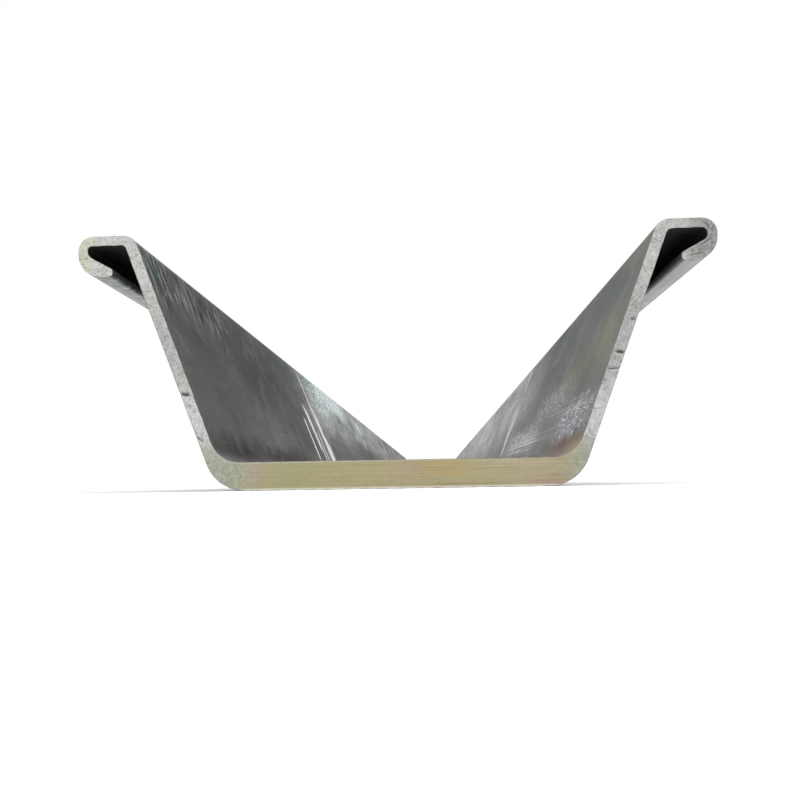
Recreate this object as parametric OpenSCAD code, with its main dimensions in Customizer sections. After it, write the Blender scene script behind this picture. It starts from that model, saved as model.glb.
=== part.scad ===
// Hot-rolled U-section steel sheet pile, lying on its pan with the trough open upwards.
// The section is drawn across X and up Z, and the pile runs along Y.
// The origin is on the underside of the pan, at the middle of the length.
// All sizes are in millimetres.

/* [Pile] */
// Length of the pile between its two square cut ends
pile_length = 6000; // [1000:100:18000]
// Distance between the centre lines of the two interlocks
effective_width = 500; // [450:1:600]
// Height of the interlock centre lines above the underside of the pan
effective_height = 200; // [170:1:230]

/* [Pan and webs] */
// Thickness of the pan
pan_thickness = 24.3; // [12:0.1:30]
// Thickness of each web
web_thickness = 10.4; // [8:0.1:15]
// Slope of each web against the pan, in degrees
web_angle = 69.5; // [64:0.5:78]
// Radius on the underside, where the pan bends into a web
outer_bend_radius = 36; // [20:1:45]
// Radius in the trough, where the pan bends into a web
inner_bend_radius = 26; // [10:1:40]

/* [Interlocks] */
// Height of the shelf's top above the interlock centre line
lock_rise = 23; // [22:0.5:28]
// Reach of the hook beyond the interlock centre line
lock_reach = 23; // [18:0.5:26]
// Thickness of the shelf that carries the hook
shelf_thickness = 8.8; // [7:0.1:11]
// Height of the whole lock, from the shelf's top to the finger's underside
lock_height = 36; // [34:0.5:42]
// Wall of the hook, outside the closed end of the groove
hook_wall = 8.6; // [7:0.1:10]
// Depth of the groove, from its closed end to the finger's nose
groove_depth = 21.5; // [17:0.5:24]
// Height of the finger's blunt nose
nose_height = 7; // [6:0.1:10]
// Slope of the finger's inner face, in degrees
finger_slope = 29; // [22:0.5:36]
// Width of the mouth between the finger's nose and the web
mouth_width = 19.5; // [16:0.5:24]

/* [Lock roundings] */
// Radius in the trough, where the web bends into the shelf
shelf_bend_radius = 14; // [9:0.5:20]
// Fillet under the shelf, where it meets the web
shelf_fillet_radius = 5; // [2:0.5:8]
// Radius on the upper outside of the hook
hook_top_radius = 12.5; // [6:0.5:16]
// Radius on the lower outside of the hook
hook_bottom_radius = 20; // [8:0.5:22]
// Fillet at the upper end of the groove
groove_top_radius = 4; // [1:0.5:5]
// Fillet at the lower end of the groove
groove_bottom_radius = 6; // [1:0.5:8]
// Radius on both edges of the finger's nose
nose_radius = 3; // [1:0.5:5]

/* [Hidden] */
// Largest distance between a rounding and the straight pieces that stand for it
curve_tolerance = 0.05;
// Levels of the lock, above the underside of the pan
shelf_top = effective_height + lock_rise;
shelf_underside = shelf_top - shelf_thickness;
finger_underside = shelf_top - lock_height;
nose_top = finger_underside + nose_height;
// Stations of the lock, outwards from the middle of the pile
hook_outside = effective_width / 2 + lock_reach;
groove_end = hook_outside - hook_wall;
nose_station = groove_end - groove_depth;
groove_bottom = nose_top + groove_depth * tan(finger_slope);
// The web passes the nose at the width of the mouth, and its slope sets the width of the pan
web_lean = 1 / tan(web_angle);
web_run = web_thickness / sin(web_angle);
mouth_level = finger_underside + nose_height / 2;
pan_edge = nose_station - mouth_width - mouth_level * web_lean;

// Station of the web's outer face at a level above the underside of the pan
function web_outside(level) = pan_edge + level * web_lean;

// Station of the web's inner face at a level above the underside of the pan
function web_inside(level) = web_outside(level) - web_run;

// Sharp corners of the right half, from the underside up to the trough: [station, level, radius]
half_corners = [
    [pan_edge, 0, outer_bend_radius],
    [web_outside(shelf_underside), shelf_underside, shelf_fillet_radius],
    [groove_end, shelf_underside, groove_top_radius],
    [groove_end, groove_bottom, groove_bottom_radius],
    [nose_station, nose_top, nose_radius],
    [nose_station, finger_underside, nose_radius],
    [hook_outside, finger_underside, hook_bottom_radius],
    [hook_outside, shelf_top, hook_top_radius],
    [web_inside(shelf_top), shelf_top, shelf_bend_radius],
    [web_inside(pan_thickness), pan_thickness, inner_bend_radius]
];

// The left half is the mirror image, taken back down from the trough to the underside
corner_count = 2 * len(half_corners);
corners = [
    for (i = [0 : corner_count - 1])
        i < len(half_corners)
            ? half_corners[i]
            : [-half_corners[corner_count - 1 - i][0],
               half_corners[corner_count - 1 - i][1],
               half_corners[corner_count - 1 - i][2]]
];

// Position of a corner, counted round the section without an end
function place(i) = let (c = corners[(i + corner_count) % corner_count]) [c[0], c[1]];

// Direction from one position to another
function toward(from, to) = (to - from) / norm(to - from);

// Half of the angle between the two edges that meet in a corner
function half_angle(i) =
    acos(toward(place(i), place(i - 1)) * toward(place(i), place(i + 1))) / 2;

// Length that the rounding of a corner takes from each of its two edges
function wanted_reach(i) =
    corners[(i + corner_count) % corner_count][2] / tan(half_angle(i));

// Two roundings share the edge between them where it is too short for both
function edge_share(i) =
    min(1, norm(place(i + 1) - place(i)) / (wanted_reach(i) + wanted_reach(i + 1)));

function reach(i) = wanted_reach(i) * min(edge_share(i - 1), edge_share(i));

// Points of the rounding at a corner, from the edge before it to the edge after it
function rounding(i) =
    let (
        radius = reach(i) * tan(half_angle(i)),
        into = toward(place(i - 1), place(i)),
        out_of = toward(place(i), place(i + 1)),
        side = sign(cross(into, out_of)),
        centre = place(i) - reach(i) * into + side * radius * [-into[1], into[0]],
        start = atan2(-side * into[0], side * into[1]),
        turn = side * (180 - 2 * half_angle(i)),
        steps = ceil(abs(turn) / (2 * acos(1 - min(1, curve_tolerance / radius))))
    )
    [for (k = [0 : steps]) centre + radius * [cos(start + turn * k / steps), sin(start + turn * k / steps)]];

section_outline = [for (i = [0 : corner_count - 1]) each rounding(i)];

// The whole pile: one rolled section, cut square at both ends
module sheet_pile() {
    color([0.42, 0.42, 0.41])
        rotate([90, 0, 0])
            linear_extrude(height = pile_length, center = true)
                polygon(section_outline);
}

sheet_pile();
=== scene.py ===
"""Dresses the steel sheet pile: rolled skin with mill scale, sawn ends, and a plain studio stage."""

import math

import bpy
import numpy as np
from mathutils import Matrix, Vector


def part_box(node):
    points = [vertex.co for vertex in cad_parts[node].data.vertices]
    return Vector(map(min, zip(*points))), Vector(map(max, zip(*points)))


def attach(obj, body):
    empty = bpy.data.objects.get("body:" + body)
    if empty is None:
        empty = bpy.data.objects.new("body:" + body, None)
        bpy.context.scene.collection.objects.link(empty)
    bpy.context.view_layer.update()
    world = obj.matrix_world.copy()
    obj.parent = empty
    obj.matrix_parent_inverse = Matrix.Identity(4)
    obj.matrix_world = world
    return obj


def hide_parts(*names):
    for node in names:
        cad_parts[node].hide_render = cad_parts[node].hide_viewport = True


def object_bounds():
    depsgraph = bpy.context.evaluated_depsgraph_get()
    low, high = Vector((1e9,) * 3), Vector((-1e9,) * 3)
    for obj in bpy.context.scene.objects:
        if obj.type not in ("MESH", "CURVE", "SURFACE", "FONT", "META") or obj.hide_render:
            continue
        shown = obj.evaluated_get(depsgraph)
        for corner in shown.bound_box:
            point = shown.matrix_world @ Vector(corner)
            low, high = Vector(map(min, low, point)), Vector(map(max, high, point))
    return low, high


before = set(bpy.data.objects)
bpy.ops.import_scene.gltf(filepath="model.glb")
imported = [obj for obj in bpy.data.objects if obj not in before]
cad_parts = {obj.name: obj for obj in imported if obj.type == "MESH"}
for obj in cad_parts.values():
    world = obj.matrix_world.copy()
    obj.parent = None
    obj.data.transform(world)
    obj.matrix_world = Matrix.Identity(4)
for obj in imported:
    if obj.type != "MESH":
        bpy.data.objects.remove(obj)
CAD_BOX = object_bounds()

bl_info = {
    "name": "Steel Sheet Pile",
    "version": (1, 0, 0),
    "blender": (4, 5, 0),
    "location": "3D View > Sidebar > Sheet Pile",
    "description": "Builds a rolled steel sheet pile with mill scale and sawn ends on a studio stage",
    "category": "Object",
}

# The CAD solid that the rolled pile stands for, and the planes of its two sawn ends along Y
PILE = "sheet_pile"
FRONT = CAD_BOX[0][1]
BACK = CAD_BOX[1][1]
# Most that the rolled pile may depart from the CAD solid's box
FIT_TOLERANCE = 0.002


def length(name, default, text):
    """A length property in metres."""
    return bpy.props.FloatProperty(
        name=name, description=text, default=default, min=0.0, precision=4,
        subtype="DISTANCE", unit="LENGTH",
    )


def slope(name, default, text):
    """An angle property, its default given in degrees."""
    return bpy.props.FloatProperty(
        name=name, description=text, default=math.radians(default),
        subtype="ANGLE", unit="ROTATION",
    )


def tint(name, default, text):
    """A colour property in linear light."""
    return bpy.props.FloatVectorProperty(
        name=name, description=text, default=default, min=0.0, max=1.0,
        size=3, subtype="COLOR",
    )


def brightness(name, text):
    """A property that multiplies a lamp's power, 1 by default."""
    return bpy.props.FloatProperty(
        name=name, description=text, default=1.0, min=0.0, max=4.0, subtype="FACTOR",
    )


class SheetPileSizes(bpy.types.PropertyGroup):
    """Sizes of the rolled section and of its sawn ends."""

    effective_width: length("Effective Width", 0.5, "Between the centre lines of the two interlocks")
    effective_height: length("Effective Height", 0.2, "Interlock centre lines above the pan's underside")
    pan_thickness: length("Pan Thickness", 0.0243, "Thickness of the pan")
    web_thickness: length("Web Thickness", 0.0104, "Thickness of each web")
    web_angle: slope("Web Angle", 69.5, "Slope of each web against the pan")
    outer_bend_radius: length("Outer Bend Radius", 0.036, "Under the bend from pan to web")
    inner_bend_radius: length("Inner Bend Radius", 0.026, "In the trough, at the bend from pan to web")
    lock_rise: length("Lock Rise", 0.023, "Shelf's top above the interlock centre line")
    lock_reach: length("Lock Reach", 0.023, "Hook's reach beyond the interlock centre line")
    shelf_thickness: length("Shelf Thickness", 0.0088, "Thickness of the shelf that carries the hook")
    lock_height: length("Lock Height", 0.036, "From the shelf's top to the finger's underside")
    hook_wall: length("Hook Wall", 0.0086, "Wall outside the closed end of the groove")
    groove_depth: length("Groove Depth", 0.0215, "From the groove's closed end to the finger's nose")
    nose_height: length("Nose Height", 0.007, "Height of the finger's blunt nose")
    finger_slope: slope("Finger Slope", 29.0, "Slope of the finger's inner face")
    mouth_width: length("Mouth Width", 0.0195, "Between the finger's nose and the web")
    shelf_bend_radius: length("Shelf Bend Radius", 0.014, "In the trough, at the bend from web to shelf")
    shelf_fillet_radius: length("Shelf Fillet Radius", 0.005, "Under the shelf, where it meets the web")
    hook_top_radius: length("Hook Top Radius", 0.0125, "Upper outside of the hook")
    hook_bottom_radius: length("Hook Bottom Radius", 0.02, "Lower outside of the hook")
    groove_top_radius: length("Groove Top Radius", 0.004, "Upper end of the groove")
    groove_bottom_radius: length("Groove Bottom Radius", 0.006, "Lower end of the groove")
    nose_radius: length("Nose Radius", 0.003, "Both edges of the finger's nose")
    sawn_edge: length("Sawn Edge", 0.00045, "Width of the eased edge round a sawn end")
    sawn_waviness: length("Sawn Waviness", 0.00018, "Height of the waves that the saw leaves")


class SheetPileFinish(bpy.types.PropertyGroup):
    """Colours of the mill scale and of the sawn ends."""

    scale_dark: tint("Dark Scale", (0.108, 0.11, 0.11), "Mill scale where it is thick")
    scale_light: tint("Light Scale", (0.29, 0.29, 0.286), "Mill scale where it is thin")
    # Painted sheen: a pale tint that stands in for the bright reflection along the far part of the webs
    painted_sheen: tint("Worn Scale", (0.62, 0.62, 0.61), "Mill scale rubbed bright in the trough")
    scale_cool: tint("Cool Scale", (0.09, 0.16, 0.14), "Blue-green bloom under the web's top edge")
    scale_violet: tint("Violet Scale", (0.19, 0.17, 0.235), "Violet bloom on the webs")
    scale_flake: tint("Flakes", (0.45, 0.45, 0.44), "Pale flakes in the mill scale")
    scale_grit: tint("Grit", (0.06, 0.06, 0.06), "Dark grit in the mill scale")
    streak_dark: tint("Dark Streaks", (0.02, 0.026, 0.023), "Dark streaks under the web's top edge")
    streak_pale: tint("Pale Streaks", (0.4, 0.42, 0.39), "Pale streaks across the dark ones")
    bare_metal: tint("Bare Metal", (0.95, 0.95, 0.94), "Scratches and rubbing down to the metal")
    haze_left: tint("Left Haze", (0.8, 0.95, 0.94), "Hazy scuffs on the left web")
    haze_right: tint("Right Haze", (0.9, 0.9, 0.95), "Hazy scuffs on the right web")
    oil: tint("Oil Film", (0.36, 0.335, 0.19), "Olive oil film on the web near the sawn end")
    rust: tint("Rust", (0.17, 0.085, 0.05), "Rust film near the sawn end and in the bends")
    # A darker tint along the foot of the webs and low on the left web
    low_darkening: tint("Soot", (0.022, 0.019, 0.016), "Dark dirt along the foot of the webs")
    # Painted shade: near black laid inside the interlocks
    groove: tint("Groove", (0.002, 0.002, 0.002), "Black inside of the interlocks")
    sawn_web: tint("Sawn Web", (0.35, 0.35, 0.342), "Sawn end of a web")
    sawn_foot: tint("Sawn Foot", (0.48, 0.48, 0.47), "Sawn end of a web's brighter foot")
    sawn_lock: tint("Sawn Lock", (0.45, 0.45, 0.433), "Sawn end of an interlock")
    sawn_bend: tint("Sawn Bend", (0.285, 0.305, 0.225), "Sawn end of the bend from web to pan")
    sawn_pan: tint("Sawn Pan", (0.3, 0.28, 0.15), "Khaki film on the sawn end of the pan")
    sawn_green: tint("Sawn Green", (0.345, 0.37, 0.3), "Greenish places on a sawn end")
    sawn_pink: tint("Sawn Pink", (0.37, 0.34, 0.345), "Pinkish places on a sawn end")
    left_hook: tint("Left Hook", (0.46, 0.48, 0.32), "Greenish sawn end of the left hook")
    left_torn: tint("Left Tears", (0.3, 0.31, 0.26), "Torn marks on the left hook's sawn end")
    right_hook: tint("Right Hook", (0.24, 0.245, 0.235), "Darker sawn end of the right hook")
    right_torn: tint("Right Tears", (0.1, 0.1, 0.095), "Torn marks on the right hook's sawn end")
    ochre: tint("Ochre", (0.36, 0.27, 0.125), "Ochre lines along the pan's sawn end")
    rake: tint("Rake Lines", (0.25, 0.19, 0.11), "Fine brown lines along the pan's sawn end")
    drag: tint("Drag Lines", (0.38, 0.355, 0.22), "Pale lines along the pan's sawn end")
    # Painted highlight: a bright line along the lower edge of the pan's sawn end
    lower_rim_highlight: tint("Lip", (0.66, 0.64, 0.57), "Bright lower edge of the pan's sawn end")
    fleck: tint("Flecks", (0.15, 0.15, 0.145), "Dark flecks on a sawn end")
    # Painted highlight: a bright line along the upper edge of a sawn end, where its burr catches the
    # light
    upper_rim_highlight: tint("Burr", (0.8, 0.8, 0.78), "Bright burr on the upper edge of a sawn end")
    pit: tint("Pit", (0.05, 0.05, 0.048), "Nicks in a sawn end")


class SheetPileStage(bpy.types.PropertyGroup):
    """Floor, light and camera."""

    floor_tint: tint("Floor", (0.94, 0.94, 0.94), "Plain pale floor")
    backdrop_tint: tint("Backdrop", (1.0, 1.0, 1.0), "Plain white beyond the floor")
    key_strength: brightness("Key Strength", "Soft key light, front left and above")
    fill_strength: brightness("Fill Strength", "Soft fill light, right and above")
    camera_yaw: slope("Camera Yaw", 2.60, "Turn of the camera to the left")
    camera_pitch: slope("Camera Pitch", 3.21, "Tilt of the camera upwards")
    camera_roll: slope("Camera Roll", 0.95, "Roll of the camera to the right")
    camera_distance: length("Camera Distance", 0.637, "Camera in front of the sawn end")
    camera_side: length("Camera Side", 0.033, "Camera to the right of the pile's middle")
    camera_height: length("Camera Height", 0.005, "Camera above the floor")
    camera_lens: bpy.props.FloatProperty(
        name="Lens", description="Focal length on a 36 mm sensor", default=34.2, min=1.0,
        subtype="DISTANCE_CAMERA", unit="CAMERA",
    )
    camera_shift: bpy.props.FloatProperty(
        name="Shift", description="Vertical shift, as a share of the frame", default=0.05,
    )


# The section

# Corners of the under side and of the upper side, both from the left finger's nose to the right one
UNDER_CORNERS = np.r_[15:20, 0:5]
UPPER_CORNERS = np.r_[14:4:-1]
# Steps on the roundings at the ten corners of a side, and on the flats between them
ROUNDING_STEPS = (6, 8, 8, 8, 14, 14, 8, 8, 8, 6)
FLAT_STEPS = (7, 2, 8, 150, 150, 150, 8, 2, 7)
# Rows of the corners at the top and at the foot of the right web's trough face
TROUGH_FACE = (8, 9)


def section_corners(s):
    """Sharp corners of the whole section as rows of station, level and radius, anticlockwise.

    The right half runs from the pan's underside round the lock and back down into the trough.
    The left half is its mirror image, taken in reverse.
    The web's outer face stands at pan edge + level / tan(web angle), and its inner face one
    thickness / sin(web angle) closer to the middle.
    """
    shelf_top = s.effective_height + s.lock_rise
    shelf_under = shelf_top - s.shelf_thickness
    finger_under = shelf_top - s.lock_height
    nose_top = finger_under + s.nose_height
    hook_outside = s.effective_width / 2 + s.lock_reach
    groove_end = hook_outside - s.hook_wall
    nose = groove_end - s.groove_depth
    groove_bottom = nose_top + s.groove_depth * math.tan(s.finger_slope)
    lean = 1 / math.tan(s.web_angle)
    run = s.web_thickness / math.sin(s.web_angle)
    pan_edge = nose - s.mouth_width - (finger_under + s.nose_height / 2) * lean
    right = np.array([
        (pan_edge, 0.0, s.outer_bend_radius),
        (pan_edge + shelf_under * lean, shelf_under, s.shelf_fillet_radius),
        (groove_end, shelf_under, s.groove_top_radius),
        (groove_end, groove_bottom, s.groove_bottom_radius),
        (nose, nose_top, s.nose_radius),
        (nose, finger_under, s.nose_radius),
        (hook_outside, finger_under, s.hook_bottom_radius),
        (hook_outside, shelf_top, s.hook_top_radius),
        (pan_edge + shelf_top * lean - run, shelf_top, s.shelf_bend_radius),
        (pan_edge + s.pan_thickness * lean - run, s.pan_thickness, s.inner_bend_radius),
    ])
    return np.vstack([right, right[::-1] * (-1, 1, 1)])


def trough_face(s):
    """Station of the right web's trough face at the floor, and its gain for each metre of level."""
    corners = section_corners(s)
    top, foot = (corners[row, :2] for row in TROUGH_FACE)
    lean = (top[0] - foot[0]) / (top[1] - foot[1])
    return foot[0] - foot[1] * lean, lean


def unit(v):
    """Rows of v, each divided by its own length."""
    return v / np.linalg.norm(v, axis=-1, keepdims=True)


def ray(angle):
    """Cosine and sine of each angle."""
    return np.stack([np.cos(angle), np.sin(angle)], -1)


def corner_arcs(corners):
    """Tangent roundings of a closed ring of corners: centre, radius, start, turn and bulge.

    A rounding of radius r takes r * tan(half the turn) from each of its two edges, and two
    roundings share an edge that is too short for both. Its centre lies r to the inner side of
    the point where it leaves the first edge. Bulge is +1 outwards and -1 inwards.
    """
    place = corners[:, :2]
    ahead = np.roll(place, -1, 0) - place
    leave = unit(ahead)
    enter = np.roll(leave, 1, 0)
    half_turn = 0.5 * np.arccos(np.clip((enter * leave).sum(1), -1, 1))
    reach = corners[:, 2] * np.tan(half_turn)
    share = np.minimum(1, np.linalg.norm(ahead, axis=1) / (reach + np.roll(reach, -1)))
    reach = reach * np.minimum(share, np.roll(share, 1))
    radius = reach / np.tan(half_turn)
    bulge = np.sign(enter[:, 0] * leave[:, 1] - enter[:, 1] * leave[:, 0])
    inward = np.stack([-enter[:, 1], enter[:, 0]], 1)
    centre = place - reach[:, None] * enter + (bulge * radius)[:, None] * inward
    start = np.arctan2(-bulge * enter[:, 0], bulge * enter[:, 1])
    return centre, radius, start, 2 * bulge * half_turn, bulge


def side_walk():
    """Corner number and fraction for each sample along a side.

    A fraction from 0 to 1 lies on the corner's rounding, and from 1 to 2 on the flat after it.
    The last rounding has only its own end after it.
    """
    flats = (*FLAT_STEPS, 1)
    corner = np.repeat(np.arange(len(flats)), np.add(ROUNDING_STEPS, flats))
    fractions = [np.r_[np.arange(a) / a, 1 + np.arange(b) / b] for a, b in zip(ROUNDING_STEPS, flats)]
    return corner, np.concatenate(fractions)


def walk_side(arcs, order, backward):
    """Points and outward normals of one side of the section, from left to right.

    On a rounding: centre + radius * (cos, sin) of start + fraction * turn, with the ray itself
    times the bulge as normal. On a flat: straight on to the start of the next rounding.
    Walking backward swaps the ends of each rounding.
    """
    centre, radius, start, turn, bulge = (a[order] for a in arcs)
    if backward:
        start, turn = start + turn, -turn
    corner, fraction = side_walk()
    out = ray(start[corner] + turn[corner] * np.minimum(fraction, 1))
    point = centre[corner] + radius[corner, None] * out
    after = np.minimum(corner + 1, len(order) - 1)
    target = centre[after] + radius[after, None] * ray(start[after])
    point = point + np.clip(fraction - 1, 0, 1)[:, None] * (target - point)
    return point, out * bulge[corner, None]


def girth_of(points):
    """Running length along rows of points."""
    return np.r_[0, np.cumsum(np.linalg.norm(np.diff(points, axis=0), axis=1))]


# Grids


def ring_of(grid):
    """The border of a grid of columns from under to upper, anticlockwise, as a closed ring."""
    return np.concatenate([grid[:, 0], grid[-1, 1:-1], grid[::-1, -1], grid[0, -2:0:-1]])


def wrapped(grid):
    """A grid with its first column again after the last one."""
    return np.hstack([grid, grid[:, :1]])


def cells_of(grid):
    """The four corners of each cell of a grid, of indices or of map places, as rows."""
    corners = grid[:-1, :-1], grid[1:, :-1], grid[1:, 1:], grid[:-1, 1:]
    return np.stack(corners, 2).reshape(-1, 4, *grid.shape[2:])


# The sawn ends

# Steps through the thickness of the steel on a sawn end
WALL_STEPS = 14
# How much the eased edge varies round a sawn end, and its rates along station and level
FRAY = 0.45
FRAY_RATES = (410, 370)
# Waves of the saw: height, rates along station and level, bend with its own two rates, and phase
SAW_WAVES = (
    (1.0, 190, 0, 1.3, 0, 60, 0.0),
    (0.7, 0, 820, 2.1, 23, 0, 0.0),
    (0.5, 610, -140, 0.0, 0, 0, 0.7),
)
# Nicks in a sawn end: station and level of both ends, depth and half width
NICKS = np.array([
    (-0.183, 0.0838, -0.176, 0.083, 0.0016, 0.0018),
    (-0.2165, 0.1734, -0.2105, 0.173, 0.0007, 0.0006),
    (-0.1705, 0.0475, -0.165, 0.0435, 0.0009, 0.0012),
    (0.186, 0.1118, 0.193, 0.1106, 0.0015, 0.0016),
    (0.177, 0.0982, 0.188, 0.0972, 0.0012, 0.0008),
    (0.1995, 0.1395, 0.2025, 0.1385, 0.0009, 0.0014),
    (0.171, 0.0894, 0.178, 0.0886, 0.0006, 0.0007),
    (0.257, 0.198, 0.271, 0.208, 0.001, 0.0007),
    (0.248, 0.1905, 0.264, 0.1945, 0.001, 0.0007),
    (0.261, 0.2205, 0.2685, 0.212, 0.0009, 0.0006),
    (0.265, 0.211, 0.2705, 0.2, 0.0007, 0.0006),
    (0.246, 0.1965, 0.256, 0.193, 0.0006, 0.0006),
    (0.258, 0.204, 0.262, 0.196, 0.0006, 0.0005),
])


def sawn_depth(x, z, waviness):
    """Depth of a sawn end behind its plane, at stations x and levels z.

    Waves: the sum of height * sin(rates * place + bend * sin(its rates * place) + phase), scaled
    so that all heights together make the waviness.
    Nicks: depth * exp(-(distance to the nick's line / its half width)^2), the deepest one counting.
    """
    waves = sum(
        height * np.sin(x * by_x + z * by_z + bend * np.sin(x * bend_x + z * bend_z) + phase)
        for height, by_x, by_z, bend, bend_x, bend_z, phase in SAW_WAVES
    )
    waves = waves * waviness / sum(wave[0] for wave in SAW_WAVES)
    a, b = NICKS[:, 0:2], NICKS[:, 2:4]
    p = np.stack([x, z], -1)[..., None, :]
    along = np.clip(((p - a) * (b - a)).sum(-1) / ((b - a) ** 2).sum(-1), 0, 1)
    gap = np.linalg.norm(p - a - along[..., None] * (b - a), axis=-1)
    pits = NICKS[:, 4] * np.exp(-((gap / NICKS[:, 5]) ** 2))
    return waves + pits.max(-1)


def sawn_plate(s):
    """The section as a grid of points, and the way out of its border.

    A point is (1 - v) * under side + v * upper side. The way out is the border's normal, 1 + fray *
    a product of two sines long, and nothing inside the border.
    """
    arcs = corner_arcs(section_corners(s))
    under, under_out = walk_side(arcs, UNDER_CORNERS, False)
    upper, upper_out = walk_side(arcs, UPPER_CORNERS, True)
    v = np.linspace(0, 1, WALL_STEPS + 1)[None, :, None]
    plate = under[:, None] * (1 - v) + upper[:, None] * v
    outward = np.zeros_like(plate)
    outward[:, 0], outward[:, -1] = under_out, upper_out
    outward[0, 1:-1], outward[-1, 1:-1] = (1, 0), (-1, 0)
    waves = np.sin(plate[..., 0] * FRAY_RATES[0]) * np.sin(plate[..., 1] * FRAY_RATES[1] + 1)
    return plate, outward * (1 + FRAY * waves)[..., None]


def sawn_ends(plate, outward, s):
    """Front and back end: the plate, eased inwards along its border and set back by the saw's depth.

    The back end has the same waves and nicks, from right to left.
    """
    x, z = np.moveaxis(plate - s.sawn_edge * outward, -1, 0)
    front = np.stack([x, FRONT + sawn_depth(x, z, s.sawn_waviness), z], -1)
    back = np.stack([x, BACK - sawn_depth(-x, z, s.sawn_waviness), z], -1)
    return front, back


# The rolled skin

# A ring on the eased edge: its place as a share of the edge, and the share that is cut away there
EDGE_RING = (0.35, 0.3)
# Rings of the skin close behind a sawn end, and the even rings in between
NEAR_RINGS = (0.0012, 0.003, 0.007, 0.016, 0.035, 0.07, 0.13, 0.22)
EVEN_START = 0.34
EVEN_RINGS = 19
# Distance behind a sawn end over which its waves and nicks die away
RELIEF_REACH = 0.0012
# Levels over which the painted shade under the locks sets in, below the shelf, as shares of the lock's
# height
LOCK_SHADE_FADE = (0.9, 0.35)


def pile_stations(edge):
    """Stations along the pile and the share of the eased edge that is cut away at each.

    Close together behind each sawn end and wide apart in between.
    """
    near = np.r_[0.0, EDGE_RING[0] * edge, edge, NEAR_RINGS]
    cut = np.r_[1.0, EDGE_RING[1], np.zeros(len(near) - 2)]
    even = np.linspace(FRONT + EVEN_START, BACK - EVEN_START, EVEN_RINGS)
    stations = np.r_[FRONT + near, even, (BACK - near)[::-1]]
    return stations, np.r_[cut, np.zeros(EVEN_RINGS), cut[::-1]]


def rolled_skin(plate, outward, front, back, s):
    """Rings of the skin between both sawn ends: the section's border carried along Y.

    A ring is drawn in by what is cut away of the eased edge, and follows the relief of its sawn
    end by exp(-distance / reach).
    """
    stations, cut = (values[1:-1, None] for values in pile_stations(s.sawn_edge))
    profile = ring_of(plate) - s.sawn_edge * cut[..., None] * ring_of(outward)
    settle = np.exp(-np.minimum(stations - FRONT, BACK - stations) / RELIEF_REACH)
    nearer_front = stations - FRONT < BACK - stations
    relief = np.where(nearer_front, ring_of(front[..., 1]) - FRONT, ring_of(back[..., 1]) - BACK)
    return np.stack([profile[..., 0], stations + settle * relief, profile[..., 1]], -1)


def pile_faces(columns, rows, rings):
    """Quads of the front end, the back end and the skin, with 1 for a sawn face and 0 for a rolled one.

    The skin shares the vertices of both ends' borders, so that the pile is closed.
    """
    grid = np.arange(columns * rows).reshape(columns, rows)
    border = ring_of(grid)
    tail = grid.size + rings * len(border)
    skin = np.arange(grid.size, tail).reshape(rings, -1)
    ends = cells_of(grid)
    sides = cells_of(wrapped(np.vstack([border, skin, tail + border])))
    quads = np.vstack([ends, ends[:, ::-1] + tail, sides])
    return quads, np.r_[np.ones(2 * len(ends), int), np.zeros(len(sides), int)]


def pile_marks(plate, rings, s):
    """Vertex marks: trough is 1 on the upper side; the mark for painted shade is 1 in the locks and
    fades down the web.
    """
    trough, shelter = np.zeros((2, *plate.shape[:2]))
    trough[:, -1] = 1
    shelf_under = s.effective_height + s.lock_rise - s.shelf_thickness
    low, high = (shelf_under - s.lock_height * share for share in LOCK_SHADE_FADE)
    rise = np.clip((plate[:, 0, 1] - low) / (high - low), 0, 1)
    shelter[:, 0] = rise * rise * (3 - 2 * rise)
    return {
        name: np.r_[mark.ravel(), np.tile(ring_of(mark), rings), mark.ravel()]
        for name, mark in (("trough", trough), ("shelter", shelter))
    }


# The maps

# The bake map is a square. Margin at both sides, height of a strip that holds half a sawn end,
# feet of the front end's left and right strips, and lift of the back end's strips above them
BAKE_MARGIN = 0.01
STRIP_HEIGHT = 0.048
STRIP_FEET = (0.006, 0.061)
BACK_LIFT = 0.115
# Foot and height of the skin on the bake map, and the extra width at its front with its taper
SKIN_FOOT = 0.24
SKIN_HEIGHT = 0.75
FRONT_EXTRA = 0.22
FRONT_TAPER = 6


def across_bake(share):
    """Place across the bake map for a share from 0 to 1 between its margins."""
    return BAKE_MARGIN + (1 - 2 * BAKE_MARGIN) * share


def end_maps(plate):
    """Places of one sawn end: in metres on the rolled map, and in two strips on the bake map.

    Both go along the section's middle line and through its wall.
    """
    under, upper = plate[:, 0], plate[:, -1]
    middle = girth_of((under + upper) / 2)
    along, through = np.meshgrid(middle, np.linspace(0, 1, plate.shape[1]), indexing="ij")
    wall = np.linalg.norm(upper - under, axis=1)[:, None]
    centre = len(middle) // 2
    strips = []
    for half, columns in enumerate((slice(None, centre + 1), slice(centre, None))):
        share = along[columns] / middle[centre] - half
        height = STRIP_FEET[half] + STRIP_HEIGHT * through[columns]
        strips.append(cells_of(np.stack([across_bake(share), height], -1)))
    return cells_of(np.stack([along, through * wall], -1)), np.vstack(strips)


def skin_maps(plate, stations):
    """Places of the skin: metres along the pile and round its girth, and shares of both.

    The bake map draws the front wider: along + extra * (1 - (1 - along)^taper), scaled to 1.
    """
    ring = ring_of(plate)
    girth = girth_of(np.vstack([ring, ring[:1]]))
    run = stations - FRONT
    along = run / run[-1]
    along = (along + FRONT_EXTRA * (1 - (1 - along) ** FRONT_TAPER)) / (1 + FRONT_EXTRA)
    around = SKIN_FOOT + SKIN_HEIGHT * girth / girth[-1]
    rolled = np.stack(np.meshgrid(run, girth, indexing="ij"), -1)
    bake = np.stack(np.meshgrid(across_bake(along), around, indexing="ij"), -1)
    return cells_of(rolled), cells_of(bake)


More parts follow.
